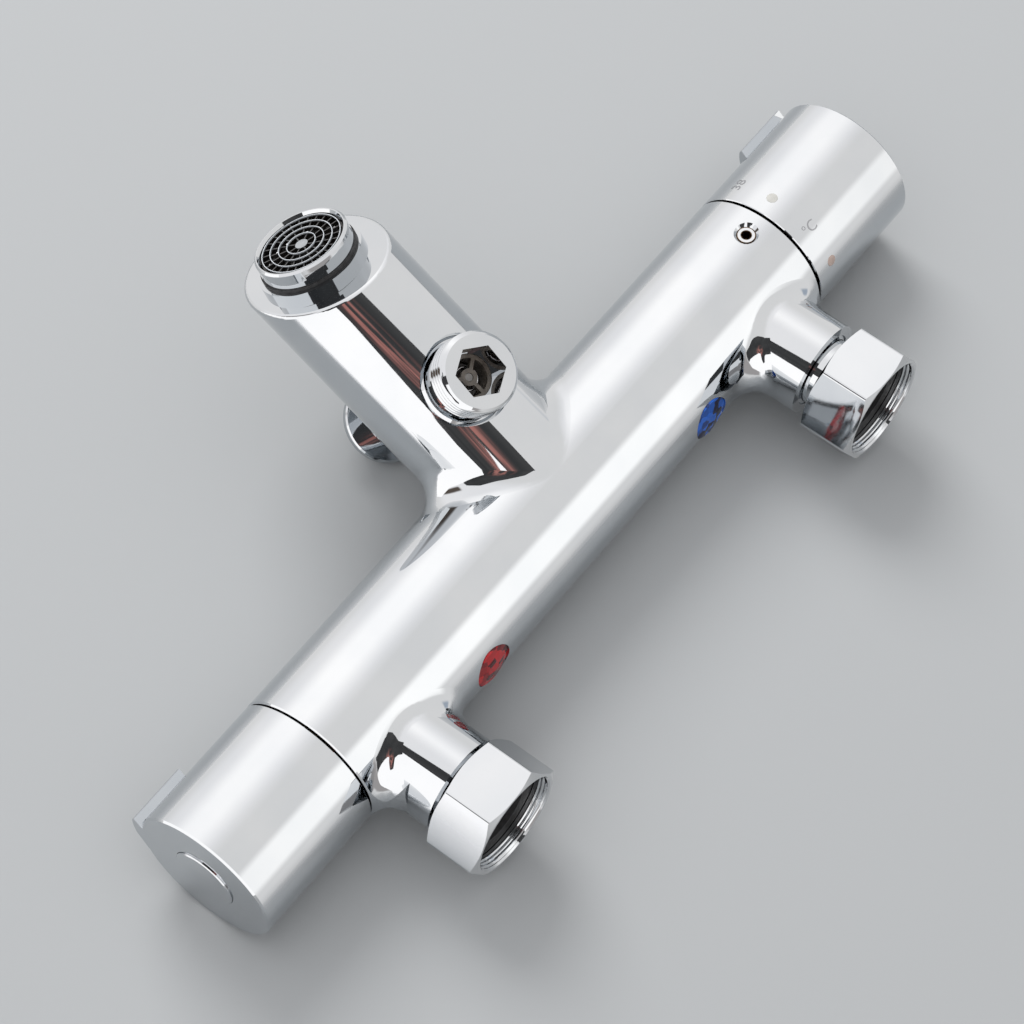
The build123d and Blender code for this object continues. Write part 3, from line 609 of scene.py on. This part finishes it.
def first_mirrored(tree):
    """1 for a ray that a mirror finish sends out before any matt surface, or else 0."""
    path = tree.nodes.new("ShaderNodeLightPath").outputs
    after_matt = calculate(tree, "MINIMUM", path["Diffuse Depth"], 1.0)
    return calculate(tree, "MULTIPLY", path["Is Glossy Ray"], rest_of(tree, after_matt))


def far_share(tree):
    """How far the floor gives way to the tent's walls in the chrome, by distance from the bar."""
    place = split_axes(tree, object_coordinates(tree))
    wall_side = spread(tree, place["Y"], 0.0, 1.0, *FAR_WALL_SIDE)
    user_side = spread(tree, place["Y"], 0.0, 1.0, *FAR_USER_SIDE)
    flow_side = spread(tree, place["X"], 0.0, 1.0, *FAR_FLOW_SIDE)
    far = calculate(tree, "MAXIMUM", calculate(tree, "MAXIMUM", wall_side, user_side), flow_side)
    return calculate(tree, "MULTIPLY", first_mirrored(tree), far)


def build_floor():
    """A pale floor under the valve. It is clear from its back, and to a ray that has passed through it."""
    deselect()
    bpy.ops.mesh.primitive_plane_add(size=FLOOR_SIZE)
    floor = bpy.context.object
    floor.name = "floor"
    floor.data.transform(facing(FLOOR_NORMAL, FLOOR_AT))
    material, tree, shader = new_material("floor_paper")
    shader.inputs["Base Color"].default_value = opaque(FLOOR_TONE)
    shader.inputs["Roughness"].default_value = 0.9
    shader.inputs["Specular IOR Level"].default_value = 0.1
    back = tree.nodes.new("ShaderNodeNewGeometry").outputs["Backfacing"]
    passed = tree.nodes.new("ShaderNodeLightPath").outputs["Transparent Depth"]
    clear = calculate(tree, "ADD", calculate(tree, "ADD", back, far_share(tree)), passed, clamp=True)
    seen = mix_shaders(tree, clear, shader, tree.nodes.new("ShaderNodeBsdfTransparent"))
    tree.links.new(seen.outputs[0], tree.nodes["Material Output"].inputs["Surface"])
    floor.data.materials.append(material)


# The studio that the chrome mirrors. Angles are about the bar: 0 towards the wall side (+Y), 90 away from
# the floor (-Z), 180 towards the user side (-Y). Tilts are towards +X, so -90 is straight along -X. Each
# field has its angles, its tilts, the softness of its edges in degrees, and its colour, and lies over the
# fields before it.
STUDIO_BASE = (1.124, 1.09, 1.065)
STUDIO_FIELDS = (
    ((-92, -22), (-70, 92), 14, (0.64, 0.63, 0.62)),
    ((204, 272), (-70, 92), 12, (0.64, 0.63, 0.62)),
    ((88, 172), (-90, 52), 12, (1.333, 1.291, 1.279)),
    ((104, 148), (12, 34), 14, (1.80, 1.735, 1.69)),
    ((0, 37), (14, 32), 6, (1.75, 1.70, 1.65)),
    ((-12, 13), (-58, 13), 3, (0.546, 0.51, 0.494)),
    ((-5, 19), (58, 76), 5, (0.546, 0.603, 0.688)),
    ((128, 182), (-38, -24), 3, (0.145, 0.116, 0.097)),
    ((-90, 270), (-90, -62), 3, (1.734, 1.67, 1.645)),
)

# What lights the matt surfaces and the floor: bright overhead, which is -Z here, and dim near the floor.
# The change lies at this height of the light's direction, over this much to each side of it.
DIFFUSE_OVERHEAD = (1.03, 1.04, 1.06)
DIFFUSE_LOW = (0.09, 0.092, 0.095)
OVERHEAD_EDGE = 0.55
OVERHEAD_SOFT = 0.40

BACKDROP_TONE = (0.515, 0.527, 0.533)


def ray_way(tree):
    """The X, Y and Z of a ray's direction, and how far it points away from the floor."""
    way = split_axes(tree, tree.nodes.new("ShaderNodeTexCoord").outputs["Generated"])
    return way, calculate(tree, "MULTIPLY", way["Z"], -1.0)


def mirrored_colour(tree):
    """What the chrome mirrors: the fields of the studio, laid over its base."""
    way, away = ray_way(tree)
    turn = calculate(tree, "DEGREES", calculate(tree, "ARCTAN2", away, way["Y"]))
    angle = calculate(tree, "WRAP", turn, 270.0, -90.0)
    tilt = calculate(tree, "DEGREES", calculate(tree, "ARCSINE", way["X"]))
    colour = STUDIO_BASE
    for angles, tilts, soft, tone in STUDIO_FIELDS:
        in_turn = inside(tree, angle, angles, soft)
        in_tilt = inside(tree, tilt, tilts, soft)
        colour = lay_colour(tree, calculate(tree, "MULTIPLY", in_turn, in_tilt), colour, tone)
    return colour


def matt_colour(tree):
    """What lights the matt surfaces, from dim at the floor's level to bright straight overhead."""
    _, away = ray_way(tree)
    overhead = soft_step(tree, away, OVERHEAD_EDGE, OVERHEAD_SOFT)
    return lay_colour(tree, overhead, DIFFUSE_LOW, DIFFUSE_OVERHEAD)


def background(tree, colour):
    """One background of the world, in a pattern or a plain tone."""
    node = tree.nodes.new("ShaderNodeBackground")
    feed(tree, node.inputs["Color"], colour)
    return node


def build_world():
    """Soft studio light from all round, and a plain pale backdrop."""
    world = bpy.data.worlds.new("studio")
    bpy.context.scene.world = world
    world.use_nodes = True
    tree = world.node_tree
    tree.nodes.clear()
    mirrored = background(tree, mirrored_colour(tree))
    matt = background(tree, matt_colour(tree))
    lit = mix_shaders(tree, first_mirrored(tree), matt, mirrored)
    in_view = tree.nodes.new("ShaderNodeLightPath").outputs["Is Camera Ray"]
    seen = mix_shaders(tree, in_view, lit, background(tree, BACKDROP_TONE))
    output = tree.nodes.new("ShaderNodeOutputWorld")
    tree.links.new(seen.outputs[0], output.inputs["Surface"])


# Two cards of the light tent, seen only in the chrome: a white one beside the flow handle, whose upper
# edge slopes, and the dark opening that the camera looks through. The white card's outline is in Y and Z,
# and the dark one's in X and Y.
WHITE_CARD_X = -0.20
WHITE_CARD = (
    (-0.60, 0.015), (0.03, 0.015), (1.00, -0.22), (0.90, -0.36), (0.36, -0.33), (0.234, -0.32),
    (0.165, -0.285), (0.108, -0.18), (0.07, -0.115), (0.03, -0.115), (0.02, -0.19), (-0.06, -0.19),
    (-0.13, -0.20), (-0.24, -0.135), (-0.60, -0.12),
)
WHITE_CARD_TONE = (1.766, 1.701, 1.66)
DARK_CARD_Z = -0.50
DARK_CARD = (
    (0.30, 1.90), (-1.50, 1.90), (-1.50, -0.27), (-0.35, -0.26), (-0.20, -0.15), (-0.16, 0.0),
    (-0.08, 0.134), (0.0, 0.289), (0.06, 0.50), (0.10, 0.85),
)
DARK_CARD_TONES = ((0.060, 0.060, 0.061), (0.092, 0.090, 0.089))

# The warm patch in the dark opening: its middle, how far it reaches, and its tone
WARM_AT = Vector((-0.37, 0.33, DARK_CARD_Z))
WARM_REACH = 0.15
WARM_TONE = (0.64, 0.27, 0.23)


def glowing_card(name, corners):
    """Makes a flat card that only mirror finishes see. Gives its node tree and the socket of its colour."""
    deselect()
    bpy.ops.mesh.primitive_circle_add(vertices=len(corners), radius=1.0, fill_type="NGON")
    card = bpy.context.object
    card.name = name
    for vertex, corner in zip(card.data.vertices, corners):
        vertex.co = corner
    card.visible_camera = False
    card.visible_diffuse = False
    card.visible_shadow = False
    card.visible_transmission = False
    material, tree, shader = new_material(name)
    tree.nodes.remove(shader)
    glow = tree.nodes.new("ShaderNodeEmission")
    tree.links.new(glow.outputs[0], tree.nodes["Material Output"].inputs["Surface"])
    card.data.materials.append(material)
    return tree, glow.inputs["Color"]


def white_card():
    """The white card beside the flow handle."""
    tree, colour = glowing_card("white_card", [(WHITE_CARD_X, y, z) for y, z in WHITE_CARD])
    feed(tree, colour, WHITE_CARD_TONE)


def dark_card():
    """The dark opening of the light tent, slightly uneven, with a warm patch in it."""
    tree, colour = glowing_card("dark_card", [(x, y, DARK_CARD_Z) for x, y in DARK_CARD])
    tone = two_tone(tree, noise(tree, 5), *DARK_CARD_TONES)
    away = vector_math(tree, "DISTANCE", object_coordinates(tree), WARM_AT)["Value"]
    near = rest_of(tree, soft_step(tree, away, WARM_REACH, WARM_REACH / 2))
    blotches = spread(tree, noise(tree, 14, detail=2), 0.0, 1.0, start=0.42, end=0.58)
    share = calculate(tree, "MULTIPLY", near, blotches)
    feed(tree, colour, lay_colour(tree, share, tone, WARM_TONE))


# The lamp that throws the soft shadow towards the wall side
LAMP_WAY = Vector((0.33, -0.63, -0.70)).normalized()
LAMP_DISTANCE = 1.6
LAMP_SIZE = 0.9
LAMP_POWER = 13.0


def build_lamp():
    """A large soft lamp, which the chrome doesn't show."""
    data = bpy.data.lights.new("soft_lamp", "AREA")
    data.shape = "DISK"
    data.size = LAMP_SIZE
    data.energy = LAMP_POWER
    lamp = bpy.data.objects.new("soft_lamp", data)
    bpy.context.scene.collection.objects.link(lamp)
    lamp.matrix_world = facing(LAMP_WAY, LAMP_WAY * LAMP_DISTANCE)
    lamp.visible_glossy = False


# The camera's place, its three axes, its lens and sensor in millimetres, and how far it sees
CAMERA_AT = (-0.382635, 0.243287, -0.832729)
CAMERA_RIGHT = (0.613977, 0.789323, -0.001081)
CAMERA_UP = (0.685341, -0.533772, -0.495374)
CAMERA_AHEAD = (0.391587, -0.303407, 0.868679)
CAMERA_LENS = 133.823
CAMERA_SENSOR = 36.0
CAMERA_FAR = 100.0


def build_camera():
    """The camera at the photograph's viewing angle."""
    data = bpy.data.cameras.new("camera")
    data.lens = CAMERA_LENS
    data.sensor_width = CAMERA_SENSOR
    data.sensor_fit = "HORIZONTAL"
    data.clip_end = CAMERA_FAR
    camera = bpy.data.objects.new("camera", data)
    bpy.context.scene.collection.objects.link(camera)
    axes = (CAMERA_RIGHT, CAMERA_UP, [-part for part in CAMERA_AHEAD], CAMERA_AT)
    camera.matrix_world = Matrix([[axis[row] for axis in axes] for row in range(3)] + [(0, 0, 0, 1)])
    bpy.context.scene.camera = camera


finish_nodes()
nut_threads()
hose_thread()
fine_grille()
slim_seal()
handle_marks()
build_floor()
build_world()
white_card()
dark_card()
build_lamp()
build_camera()
bpy.context.scene.view_settings.view_transform = "Standard"
